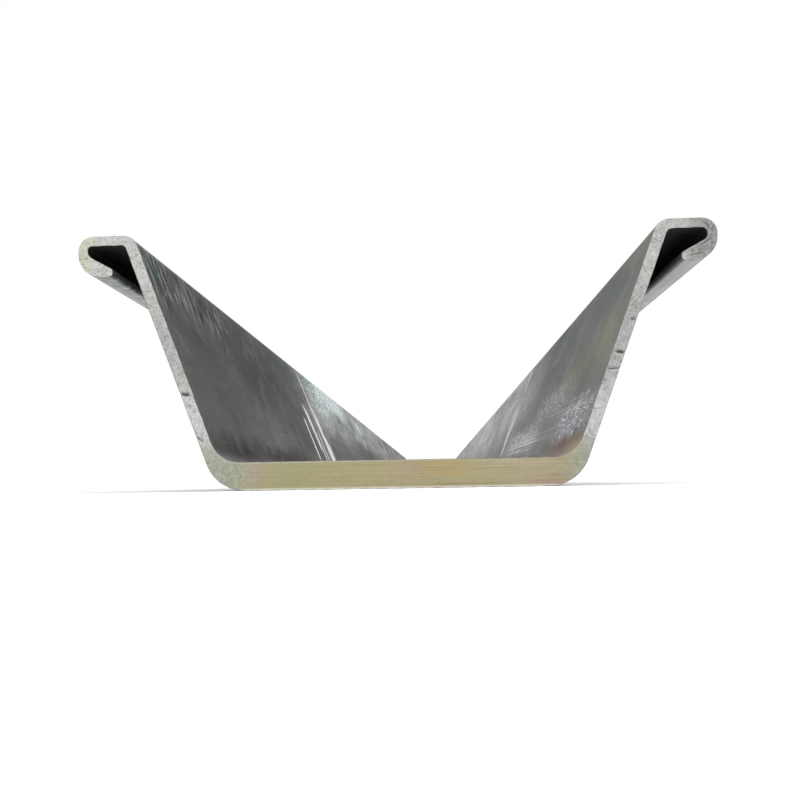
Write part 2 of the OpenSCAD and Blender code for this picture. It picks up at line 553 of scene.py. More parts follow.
def pile_maps(plate, stations):
    """Corner places of all faces: Rolled holds metres, and OFBake packs the faces into a square."""
    end_rolled, end_bake = end_maps(plate)
    skin_rolled, skin_bake = skin_maps(plate, stations)
    return {
        "Rolled": np.vstack([end_rolled, end_rolled[:, ::-1], skin_rolled]),
        "OFBake": np.vstack([end_bake, end_bake[:, ::-1] + (0, BACK_LIFT), skin_bake]),
    }


# The mesh

# Edges that turn by more than this stay sharp
SHARP_ANGLE = math.radians(32)


def check_fit(points):
    """Stops the script where points depart from the CAD solid's box."""
    off = np.abs(np.array([points.min(0), points.max(0)]) - np.array(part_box(PILE))).max()
    if off > FIT_TOLERANCE:
        raise RuntimeError(f"the rolled pile departs from the CAD solid by {off * 1000:.1f} mm")


def pile_mesh(name, s):
    """The whole pile as one closed mesh, with its maps and marks."""
    plate, outward = sawn_plate(s)
    front, back = sawn_ends(plate, outward, s)
    skin = rolled_skin(plate, outward, front, back, s)
    points = np.vstack([part.reshape(-1, 3) for part in (front, skin, back)])
    quads, sawn = pile_faces(*plate.shape[:2], len(skin))
    check_fit(points)

    mesh = bpy.data.meshes.new(name)
    mesh.vertices.add(len(points))
    mesh.vertices.foreach_set("co", points.astype(np.float32).ravel())
    mesh.loops.add(quads.size)
    mesh.loops.foreach_set("vertex_index", quads.astype(np.int32).ravel())
    mesh.polygons.add(len(quads))
    mesh.polygons.foreach_set("loop_start", np.arange(0, quads.size, 4, dtype=np.int32))
    mesh.polygons.foreach_set("material_index", sawn.astype(np.int32))
    mesh.polygons.foreach_set("use_smooth", np.ones(len(quads), bool))
    mesh.update(calc_edges=True)
    for key, places in pile_maps(plate, pile_stations(s.sawn_edge)[0]).items():
        layer = mesh.uv_layers.new(name=key)
        layer.data.foreach_set("uv", places.astype(np.float32).ravel())
    for key, values in pile_marks(plate, len(skin), s).items():
        mark = mesh.attributes.new(key, "FLOAT", "POINT")
        mark.data.foreach_set("value", values.astype(np.float32))
    if mesh.validate():
        raise RuntimeError(name + ": the mesh had faces that Blender had to mend")
    mesh.set_sharp_from_angle(angle=SHARP_ANGLE)
    return mesh


# Node tools


class NodeBoard:
    """A node tree, with short ways to set nodes on it. Most give back the new node's output."""

    def __init__(self, tree):
        self.tree = tree

    def link(self, output, socket):
        """Links an output to a socket."""
        self.tree.links.new(output, socket)

    def node(self, kind, values=(), **settings):
        """A new node, with settings on it and a value or a link on each given input."""
        made = self.tree.nodes.new(kind)
        for key, value in settings.items():
            setattr(made, key, value)
        for key, value in dict(values).items():
            if isinstance(value, bpy.types.NodeSocket):
                self.link(value, made.inputs[key])
            else:
                made.inputs[key].default_value = value
        return made

    def calc(self, operation, *terms, clamp=False):
        """One step of a Math node."""
        values = dict(enumerate(terms))
        return self.node("ShaderNodeMath", values, operation=operation, use_clamp=clamp).outputs[0]

    def times(self, product, *factors):
        """A product of values."""
        for factor in factors:
            product = self.calc("MULTIPLY", product, factor)
        return product

    def plus(self, total, *terms):
        """A total of a first value and of values that are each multiplied by a share."""
        for value, share in terms:
            total = self.calc("MULTIPLY_ADD", value, share, total)
        return total

    def union(self, largest, *masks):
        """The largest of several masks."""
        for mask in masks:
            largest = self.calc("MAXIMUM", largest, mask)
        return largest

    def ease(self, value, low, high, start=0.0, end=1.0):
        """A value eased from start to end as it goes from low to high."""
        values = {"Value": value, "From Min": low, "From Max": high, "To Min": start, "To Max": end}
        return self.node("ShaderNodeMapRange", values, interpolation_type="SMOOTHSTEP").outputs[0]

    def blend(self, share, a, b, mode="MIX"):
        """Two colours mixed by a share."""
        a, b = (c if isinstance(c, bpy.types.NodeSocket) else (*c, 1.0) for c in (a, b))
        settings = {"data_type": "RGBA", "blend_type": mode, "clamp_factor": True}
        return self.node("ShaderNodeMix", {0: share, 6: a, 7: b}, **settings).outputs[2]

    def vector(self, operation, values):
        """One step of a Vector Math node."""
        return self.node("ShaderNodeVectorMath", values, operation=operation).outputs[0]

    def stretch(self, vector, by):
        """A vector with each part multiplied."""
        return self.vector("MULTIPLY", {0: vector, 1: by})

    def noise(self, vector, scale, detail, rough):
        """Noise value from 0 to 1."""
        values = {"Vector": vector, "Scale": scale, "Detail": detail, "Roughness": rough}
        return self.node("ShaderNodeTexNoise", values).outputs[0]


# Effects shared by both finishes

NOWHERE = (0, 0, 0)
# Scale of the noise that moves a drifting vector about
DRIFT_SCALE = 38.0


def new_effect(name, inputs, **outputs):
    """An empty node group as a board, with its given and its resulting sockets.

    Inputs have a default for each name, a number or a vector, and outputs a kind of socket.
    """
    tree = bpy.data.node_groups.new(name, "ShaderNodeTree")
    for label, default in inputs.items():
        kind = "NodeSocketFloat" if isinstance(default, float) else "NodeSocketVector"
        socket = tree.interface.new_socket(label, in_out="INPUT", socket_type=kind)
        socket.default_value = default
    for label, kind in outputs.items():
        tree.interface.new_socket(label, in_out="OUTPUT", socket_type="NodeSocket" + kind)
    given = tree.nodes.new("NodeGroupInput").outputs
    return NodeBoard(tree), given, tree.nodes.new("NodeGroupOutput").inputs


def drift_effect():
    """A vector moved about by noise: each part by up to half of Amount either way."""
    board, given, result = new_effect("Drift", {"Vector": NOWHERE, "Amount": 0.01}, Vector="Vector")
    values = {"Vector": given["Vector"], "Scale": DRIFT_SCALE, "Detail": 2.0}
    drift = board.node("ShaderNodeTexNoise", values).outputs[1]
    drift = board.vector("SUBTRACT", {0: drift, 1: (0.5, 0.5, 0.5)})
    drift = board.vector("SCALE", {0: drift, "Scale": given["Amount"]})
    board.link(board.vector("ADD", {0: given["Vector"], 1: drift}), result["Vector"])
    return board.tree


def stroke_effect():
    """A single stroke: 1 inside a box of half sizes Size about Place, fading out at its borders."""
    inputs = {"Vector": NOWHERE, "Place": NOWHERE, "Turn": NOWHERE, "Size": (1, 1, 1), "Softness": 0.5}
    board, given, result = new_effect("Stroke", inputs, Mask="Float")
    values = {
        "Vector": given["Vector"], "Location": given["Place"],
        "Rotation": given["Turn"], "Scale": given["Size"],
    }
    local = board.node("ShaderNodeMapping", values, vector_type="TEXTURE").outputs[0]
    parts = board.node("ShaderNodeSeparateXYZ", {0: local}).outputs
    inside = board.calc("SUBTRACT", 1.0, given["Softness"])
    masks = [board.ease(board.calc("ABSOLUTE", part), inside, 1.0, 1.0, 0.0) for part in parts]
    board.link(board.times(*masks), result["Mask"])
    return board.tree


def streak_effect():
    """Long thin streaks: noise on a vector stretched by Pitch, kept where it is above Level."""
    inputs = {"Vector": NOWHERE, "Pitch": (1, 1, 1), "Level": 0.5, "Softness": 0.15}
    board, given, result = new_effect("Streaks", inputs, Mask="Float", Value="Float")
    value = board.noise(board.stretch(given["Vector"], given["Pitch"]), 1.0, 4.0, 0.6)
    top = board.calc("ADD", given["Level"], given["Softness"])
    board.link(board.ease(value, given["Level"], top), result["Mask"])
    board.link(value, result["Value"])
    return board.tree


def speck_effect():
    """Fine specks: noise at Scale kept above Level, thinned out by a cloud ten times as wide."""
    inputs = {"Vector": NOWHERE, "Scale": 500.0, "Level": 0.55, "Softness": 0.1}
    board, given, result = new_effect("Specks", inputs, Mask="Float", Grain="Float")
    grain = board.noise(given["Vector"], given["Scale"], 2.0, 0.6)
    cloud = board.noise(given["Vector"], board.times(given["Scale"], 0.1), 3.0, 0.6)
    mixed = board.calc("ADD", grain, board.times(board.calc("SUBTRACT", cloud, 0.5), 0.5))
    top = board.calc("ADD", given["Level"], given["Softness"])
    board.link(board.ease(mixed, given["Level"], top), result["Mask"])
    board.link(grain, result["Grain"])
    return board.tree


def shared_effects():
    """The effects that both finishes use, each built once."""
    return {
        "drift": drift_effect(), "stroke": stroke_effect(),
        "streaks": streak_effect(), "specks": speck_effect(),
    }


class Coat(NodeBoard):
    """A new material, with its shader, the place on the pile and the colour laid on so far."""

    def __init__(self, name, finish, effects):
        self.material = bpy.data.materials.new(name)
        self.material.use_nodes = True
        super().__init__(self.material.node_tree)
        self.finish, self.effects = finish, effects
        self.shader = self.tree.nodes["Principled BSDF"]
        self.place = self.node("ShaderNodeTexCoord").outputs["Object"]
        self.axis = self.node("ShaderNodeSeparateXYZ", {0: self.place}).outputs
        self.trough = self.mark("trough")
        self.colour = None

    def mark(self, name):
        """One of the pile's vertex marks."""
        return self.node("ShaderNodeAttribute", attribute_name=name).outputs["Fac"]

    def lay(self, share, shade):
        """Lays a shade over the colour so far."""
        self.colour = self.blend(share, self.colour, shade)

    def feed(self, socket, value):
        """Links a value to one of the shader's sockets."""
        self.link(value, self.shader.inputs[socket])

    def relief(self, height, strength, distance):
        """Feeds a height to the shader as a bump."""
        values = {"Height": height, "Strength": strength, "Distance": distance}
        self.feed("Normal", self.node("ShaderNodeBump", values).outputs[0])

    def effect(self, name, values):
        """Outputs of a shared effect, placed with its own values."""
        return self.node("ShaderNodeGroup", values, node_tree=self.effects[name]).outputs

    def drifted(self, amount):
        """The place on the pile, moved about by noise."""
        return self.effect("drift", {"Vector": self.place, "Amount": amount})["Vector"]

    def streaks(self, vector, pitch, level, softness):
        """Streaks along a vector: Mask and Value."""
        values = {"Vector": vector, "Pitch": pitch, "Level": level, "Softness": softness}
        return self.effect("streaks", values)

    def specks(self, vector, scale, level, softness):
        """Specks on a vector: Mask and Grain."""
        values = {"Vector": vector, "Scale": scale, "Level": level, "Softness": softness}
        return self.effect("specks", values)

    def stroke(self, vector, place, size, softness, turn=NOWHERE):
        """Mask of one stroke."""
        values = {"Vector": vector, "Place": place, "Turn": turn, "Size": size, "Softness": softness}
        return self.effect("stroke", values)["Mask"]


# The mill scale

# Marks on the webs' trough faces are rows of side, with -1 for left and 1 for right, distance from
# the sawn end, level, half run, half height and strength. Scratches also have a lean in degrees.
SCRATCHES = (
    (-1, 0.766, 0.145, 0.0065, 0.1, 0.95, 16),
    (-1, 0.781, 0.098, 0.009, 0.09, 1.0, 16),
    (-1, 0.799, 0.082, 0.01, 0.075, 1.0, 16),
    (-1, 0.818, 0.062, 0.009, 0.052, 0.95, 15),
    (-1, 0.836, 0.058, 0.0055, 0.04, 0.85, 14),
    (-1, 0.682, 0.1, 0.0095, 0.06, 1.0, 19),
    (-1, 0.7, 0.09, 0.0065, 0.075, 0.9, 18),
    (-1, 0.628, 0.08, 0.008, 0.055, 1.0, 8),
    (-1, 0.735, 0.07, 0.0055, 0.05, 0.85, 14),
    (-1, 1.76, 0.15, 0.01, 0.07, 0.95, 30),
    (-1, 2.93, 0.182, 0.013, 0.05, 0.95, 8),
    (1, 0.8, 0.192, 0.007, 0.03, 0.95, 10),
    (1, 0.842, 0.087, 0.012, 0.052, 1.0, 6),
    (1, 0.86, 0.094, 0.006, 0.03, 0.85, 8),
    (1, 0.8, 0.115, 0.0065, 0.03, 0.85, 30),
    (1, 1.95, 0.168, 0.011, 0.12, 0.95, 62),
    (1, 1.8, 0.16, 0.0065, 0.09, 0.85, 62),
    (1, 3.0, 0.172, 0.012, 0.2, 0.95, 72),
)
# Bundles of fine scratches
BUNDLES = (
    (-1, 0.79, 0.1, 0.07, 0.09, 0.5, 13),
    (1, 0.86, 0.11, 0.06, 0.06, 0.5, 6),
)
# Hazy scuffs
SCUFFS = (
    (-1, 1.15, 0.198, 0.45, 0.05, 2.6),
    (-1, 0.98, 0.17, 0.25, 0.04, 1.4),
    (-1, 0.28, 0.075, 0.3, 0.035, 0.12),
    (-1, 1.74, 0.178, 0.22, 0.035, 1.6),
    (-1, 1.4, 0.15, 0.4, 0.04, 0.5),
    (-1, 2.1, 0.19, 0.9, 0.06, 0.7),
    (-1, 1.05, 0.14, 0.26, 0.05, 0.4),
    (1, 0.1, 0.065, 0.14, 0.026, 0.95),
    (1, 0.55, 0.064, 0.3, 0.028, 1.0),
    (1, 0.3, 0.098, 0.2, 0.03, 0.65),
    (1, 0.7, 0.15, 0.3, 0.06, 0.35),
    (1, 2.0, 0.14, 1.2, 0.11, 0.5),
)
# Bundles of lengthwise rubbing lines
RUBBED = (
    (1, 0.5, 0.06, 0.34, 0.03, 0.6),
    (1, 0.2, 0.072, 0.25, 0.026, 0.35),
    (-1, 0.34, 0.066, 0.3, 0.024, 0.1),
    (-1, 1.0, 0.09, 0.4, 0.03, 0.12),
)
# Brown rust
RUSTED = (
    (1, 0.08, 0.038, 0.2, 0.02, 1.0),
    (-1, 0.6, 0.04, 0.5, 0.012, 0.5),
)
# Olive oil film
OILED = (
    (1, 0.06, 0.135, 0.09, 0.05, 0.8),
    (1, 0.17, 0.122, 0.16, 0.04, 0.55),
    (1, 0.0, 0.035, 0.1, 0.016, 0.9),
    (1, 0.02, 0.21, 0.1, 0.03, 0.5),
)
# Blue-green bloom
BLOOMED = (
    (-1, 0.03, 0.2, 0.045, 0.03, 1.0),
    (-1, 0.13, 0.215, 0.12, 0.012, 0.8),
    (-1, 0.6, 0.195, 0.2, 0.022, 0.8),
    (-1, 0.9, 0.208, 0.25, 0.016, 0.8),
    (1, 0.0, 0.215, 0.12, 0.02, 0.7),
    (1, 0.08, 0.19, 0.14, 0.07, 0.4),
    (1, 0.45, 0.19, 0.3, 0.03, 0.6),
)
# Violet bloom
VIOLET = (
    (-1, 0.42, 0.182, 0.1, 0.025, 0.8),
    (1, 0.09, 0.06, 0.12, 0.024, 0.6),
    (1, 0.3, 0.17, 0.12, 0.02, 0.5),
)
# Darker places low on the webs
DARKENED_LOW = (
    (-1, 0.1, 0.035, 0.18, 0.026, 1.0),
    (-1, 0.3, 0.038, 0.3, 0.014, 0.9),
    (-1, 1.9, 0.1, 0.9, 0.045, 0.45),
    (1, 0.3, 0.032, 0.2, 0.01, 0.5),
)
# Streaks down from the web's top edge
STREAKED = (
    (-1, 0.05, 0.195, 0.12, 0.06, 1.2),
    (-1, 0.17, 0.195, 0.2, 0.05, 1.2),
    (-1, 0.4, 0.185, 0.3, 0.035, 0.5),
    (1, 0.25, 0.19, 0.4, 0.05, 0.2),
)
# Half size through the web and softness of the scratches, of the scuffs and of the stains
SCRATCH_FORM = (0.05, 0.6)
SCUFF_FORM = (0.08, 0.8)
STAIN_FORM = (0.08, 1.0)
# Noise amounts that move stains and scratches about
STAIN_DRIFT = 0.03
SCRATCH_DRIFT = 0.006
# Streaks on the rolled map: lean in degrees, pitch along and round the pile, level and softness
STREAKS = {
    "wash": (0.0, 14.0, 4.0, 0.4, 0.3),
    "fine": (7.0, 150.0, 30.0, 0.52, 0.08),
    "cross": (-4.0, 170.0, 34.0, 0.48, 0.1),
    "hair": (8.0, 55.0, 400.0, 0.5, 0.16),
    "comb": (0.0, 95.0, 3.0, 0.5, 0.08),
    "rub": (0.6, 1.5, 240.0, 0.5, 0.12),
    "lines": (0.0, 2.0, 330.0, 0.5, 0.3),
    "score": (-15.0, 260.0, 6.0, 0.4, 0.1),
}
# Noises: scale, detail and roughness. The first three lie on the place drawn out along the pile.
DRAWN = (1.0, 0.3, 1.0)
CLOUD = (6.0, 5.0, 0.6)
MOTTLE = (22.0, 4.0, 0.6)
DULL_GRAIN = (210.0, 4.0, 0.7)
RUST_SPOTS = (14.0, 5.0, 0.65)
# Noises of the painted sheen: stretch of the place, scale, detail and roughness
SHEEN_PATCHES = ((8.0, 5.0, 26.0), 1.0, 4.0, 0.6)
SHEEN_GRAIN = ((60.0, 24.0, 210.0), 1.0, 3.0, 0.7)
# Specks: scale, level and softness
GRIT = (270.0, 0.55, 0.14)
FLAKES = (26.0, 0.57, 0.07)
# Relief of the skin: strength and height of its bump
SCALE_RELIEF = (0.5, 0.0012)
# Distances from the sawn end and levels over which the painted sheen sets in
SHEEN_RUN = (0.45, 0.95)
SHEEN_LEVEL = (0.06, 0.14)
# Stations over which the painted sheen and the haze fade out on the shelves
SHELF_FADE = (0.222, 0.236)
# Levels over which the light rust fades out, and stations over which the haze changes its tint
RUST_FADE = (0.02, 0.07)
HAZE_TURN = (-0.05, 0.05)


class MillScale(Coat):
    """Rolled skin: grey mill scale with streaks, scuffs, scratches, oil film and a little rust."""

    def __init__(self, finish, effects, face):
        super().__init__("mill_scale", finish, effects)
        self.face = face
        self.rolled = self.node("ShaderNodeUVMap", uv_map="Rolled").outputs[0]
        # Mask of the painted shade in the locks, fading down the web
        self.shelter = self.mark("shelter")
        self.wandering = self.drifted(STAIN_DRIFT)
        self.wavering = self.drifted(SCRATCH_DRIFT)
        self.drawn = self.stretch(self.place, DRAWN)
        self.cloud = self.noise(self.drawn, *CLOUD)
        self.wash = self.streaked("wash")
        self.rub = self.streaked("rub")
        self.grit = self.specks(self.drawn, *GRIT)
        self.inside = self.ease(self.calc("ABSOLUTE", self.axis["X"]), *SHELF_FADE, 1.0, 0.35)
        tone = self.scale_tone()
        sheen = self.lay_painted_sheen()
        streaky = self.blooms_and_streaks()
        rusty = self.stains()
        worn = self.scrapes()
        self.surface(tone, sheen, streaky, rusty, worn)

    def streaked(self, name):
        """Named streaks on the rolled map, turned by their lean."""
        lean, along, around, level, softness = STREAKS[name]
        turned = {"Vector": self.rolled, "Rotation": (0.0, 0.0, math.radians(lean))}
        vector = self.node("ShaderNodeMapping", turned).outputs[0]
        return self.streaks(vector, (along, around, 1.0), level, softness)

    def stretched_noise(self, by, scale, detail, rough):
        """Noise on the place with each part multiplied."""
        return self.noise(self.stretch(self.place, by), scale, detail, rough)

    def web_mark(self, vector, form, side, run, level, half_run, half_level, strength, lean=0.0):
        """Mask of one mark on a web's trough face, times its strength."""
        half_depth, softness = form
        foot, gain = self.face
        place = (side * (foot + gain * level), FRONT + run, level)
        turn = (math.radians(lean), 0.0, 0.0)
        mask = self.stroke(vector, place, (half_depth, half_run, half_level), softness, turn)
        return self.times(mask, strength)

    def web_marks(self, vector, form, marks):
        """One mask of several marks on the webs' trough faces."""
        return self.union(*(self.web_mark(vector, form, *mark) for mark in marks))

    def stained(self, stains):
        """One mask of several stains in the trough."""
        return self.times(self.web_marks(self.wandering, STAIN_FORM, stains), self.trough)

    def scale_tone(self):
        """Dark to light scale by a tone of clouds, washed streaks, mottle, grit and drawn lines."""
        mottle = self.noise(self.drawn, *MOTTLE)
        tone = self.plus(
            self.times(self.cloud, 0.6),
            (self.wash["Value"], 0.1),
            (mottle, 0.3),
            (self.grit["Grain"], 0.3),
            (self.streaked("lines")["Mask"], 0.03),
        )
        tone = self.ease(tone, 0.45, 0.87)
        self.colour = self.blend(tone, self.finish.scale_dark, self.finish.scale_light)
        return tone

    def lay_painted_sheen(self):
        """Painted sheen: the trough's scale lightened away from the sawn end, in grainy patches, for the
        bright reflection along the webs.
        """
        run = self.ease(self.axis["Y"], *(FRONT + run for run in SHEEN_RUN))
        level = self.ease(self.axis["Z"], *SHEEN_LEVEL, 0.12, 1.0)
        patches = self.ease(self.stretched_noise(*SHEEN_PATCHES), 0.35, 0.62, 0.4, 1.0)
        grain = self.ease(self.stretched_noise(*SHEEN_GRAIN), 0.36, 0.64, 0.8, 1.25)
        sheen = self.times(run, level, self.trough, patches, grain, self.inside)
        # Painted sheen laid into the colour
        self.lay(self.times(sheen, 0.92), self.finish.painted_sheen)
        return sheen

    def blooms_and_streaks(self):
        """Blooms, then dark and pale streaks under the webs' top edges, flakes and grit."""
        finish = self.finish
        washed = self.ease(self.wash["Value"], 0.3, 0.6, 0.5, 1.0)
        self.lay(self.times(self.stained(BLOOMED), washed), finish.scale_cool)
        self.lay(self.stained(VIOLET), finish.scale_violet)
        streaky = self.stained(STREAKED)
        dark = self.ease(self.streaked("cross")["Mask"], 0.0, 1.0, 0.3, 1.0)
        self.lay(self.times(streaky, dark), finish.streak_dark)
        pale = self.ease(streaky, 0.0, 1.0, 0.03, 0.75)
        pale = self.times(self.streaked("fine")["Mask"], pale)
        self.lay(pale, finish.streak_pale)
        flakes = self.specks(self.place, *FLAKES)["Mask"]
        self.lay(self.times(flakes, 0.22), finish.scale_flake)
        self.lay(self.times(self.grit["Mask"], 0.35), finish.scale_grit)
        return self.times(pale, streaky)

    def stains(self):
        """Rust low down and near the sawn end, a darker tint along the webs' feet and low on the left
        web, and oil film.
        """
        low = self.ease(self.axis["Z"], *RUST_FADE, 1.0, 0.0)
        spots = self.ease(self.noise(self.place, *RUST_SPOTS), 0.47, 0.66, 0.0, 0.6)
        rusty = self.union(self.times(low, spots), self.stained(RUSTED))
        self.lay(self.times(rusty, 0.75), self.finish.rust)
        rubbed = self.ease(self.rub["Value"], 0.35, 0.6, 0.75, 1.0)
        # Darker tint laid low on the webs
        self.lay(self.times(self.stained(DARKENED_LOW), rubbed), self.finish.low_darkening)
        self.lay(self.times(self.stained(OILED), 0.7), self.finish.oil)
        return rusty

    def scrapes(self):
        """Hazy scuffs, then broken scratches, bundles of fine ones and rubbing lines to the metal."""
        finish = self.finish
        broken = self.plus(-0.75, (self.streaked("score")["Value"], 1.5))
        scratches = self.web_marks(self.wavering, SCRATCH_FORM, SCRATCHES)
        scratches = self.ease(self.plus(scratches, (broken, 0.9)), 0.32, 0.82)
        bundles = self.web_marks(self.wavering, SCRATCH_FORM, BUNDLES)
        bundles = self.times(bundles, self.streaked("comb")["Mask"])
        dull = self.ease(self.noise(self.drawn, *DULL_GRAIN), 0.42, 0.68, 0.12, 0.8)
        dull = self.union(dull, self.streaked("hair")["Mask"])
        haze = self.web_marks(self.wandering, SCUFF_FORM, SCUFFS)
        haze = self.times(haze, dull, self.inside, 0.9)
        rubbed = self.web_marks(self.wandering, SCUFF_FORM, RUBBED)
        rubbed = self.times(rubbed, self.rub["Mask"])
        tinge = self.blend(self.ease(self.axis["X"], *HAZE_TURN), finish.haze_left, finish.haze_right)
        self.lay(self.times(haze, self.trough), tinge)
        scraped = self.union(scratches, bundles, rubbed)
        self.lay(self.times(scraped, self.trough), finish.bare_metal)
        return self.times(self.union(scraped, haze), self.trough)

    def surface(self, tone, sheen, streaky, rusty, worn):
        """Painted black shade in the grooves, then the shader's colour, roughness, metal and relief."""
        # Painted shade: the insides and undersides of the locks laid over with near black
        self.lay(self.times(self.shelter, 0.98), self.finish.groove)
        self.feed("Base Color", self.colour)
        rough = self.ease(tone, 0.0, 1.0, 0.36, 0.28)
        rough = self.plus(rough, (self.grit["Grain"], 0.08), (rusty, 0.25), (worn, 0.12))
        self.feed("Roughness", self.calc("MULTIPLY_ADD", self.shelter, 0.45, rough, clamp=True))
        metal = self.plus(0.7, (rusty, -0.5), (worn, -0.65), (streaky, -0.3), (sheen, -0.25))
        self.feed("Metallic", self.calc("MULTIPLY_ADD", self.shelter, -0.6, metal, clamp=True))
        height = self.plus(self.times(self.grit["Grain"], 0.12), (self.cloud, 0.6))
        self.relief(height, *SCALE_RELIEF)


# The sawn steel

# Tinted places on the pan's sawn end: station, level, half width, half height, share and shade
PAN_PATCHES = (
    (-0.121, 0.014, 0.022, 0.02, 0.8, (0.31, 0.25, 0.2)),
    (-0.085, 0.012, 0.05, 0.03, 0.7, (0.27, 0.26, 0.13)),
    (0.008, 0.016, 0.03, 0.016, 0.7, (0.35, 0.27, 0.19)),
    (0.042, 0.017, 0.04, 0.012, 0.9, (0.36, 0.28, 0.115)),
    (0.076, 0.018, 0.03, 0.012, 0.6, (0.3, 0.3, 0.16)),
    (0.112, 0.012, 0.05, 0.02, 0.7, (0.34, 0.29, 0.2)),
    (0.13, 0.003, 0.03, 0.006, 0.8, (0.33, 0.2, 0.19)),
    (0.1, 0.021, 0.05, 0.004, 0.6, (0.42, 0.33, 0.27)),
)
# Half length of those places along the pile, so that both sawn ends have them, and their softness
PATCH_LENGTH = 20.0
PATCH_SOFTNESS = 1.0
# Noise amounts that move those places and the nicks about
PATCH_DRIFT = 0.012
NICK_DRIFT = 0.004
# Half length of a nick's dark mark along the pile, its width against the nick's own, its softness,
# and its share of the pit's tint for each metre of depth
NICK_LENGTH = 0.05
NICK_WIDENING = 1.4
NICK_SOFTNESS = 0.8
NICK_DARKNESS = 700
# Lines and torn marks that the saw leaves: pitch, level and softness
DRAG_LINES = ((5.0, 5.0, 420.0), 0.46, 0.2)
RAKE_LINES = ((9.0, 9.0, 1100.0), 0.48, 0.14)
TORN_MARKS = ((420.0, 9.0, 90.0), 0.5, 0.12)
# Noises of hue, of light and dark, and of the film's borders: scale, detail and roughness
HUE = (34.0, 3.0, 0.6)
SPECKLE = (190.0, 5.0, 0.75)
BORDER = (60.0, 4.0, 0.6)
# How far the film's borders wander
BORDER_WIDTH = 0.03
# Flecks: scale, level and softness
FLECKS = (430.0, 0.53, 0.14)
# Relief of the sawn steel: strength and height of its bump
SAWN_RELIEF = (0.35, 0.0006)
# Levels over which the locks, the bends, the khaki film, the painted highlight on its lower edge and the
# painted highlight on the upper edge set in
LOCK_LEVEL = (0.13, 0.2)
BEND_LEVEL = (0.05, 0.025)
FILM_LEVEL = (0.05, 0.026)
LOWER_RIM_LEVEL = (0.0026, 0.0008)
UPPER_RIM_LEVEL = (0.021, 0.05)
# Levels over which the bright foot of a web sets in from below and from above
FOOT_LEVELS = ((0.03, 0.045), (0.105, 0.07))
# Stations over which the two hooks, the film from either side, the rake lines and the painted highlight
# on the upper edge set in
LEFT_HOOK = (-0.255, -0.266)
RIGHT_HOOK = (0.243, 0.256)
FILM_STATIONS = ((-0.148, -0.112), (0.162, 0.132))
RAKE_STATION = (-0.09, 0.0)
UPPER_RIM_STATION = (0.1, -0.1)


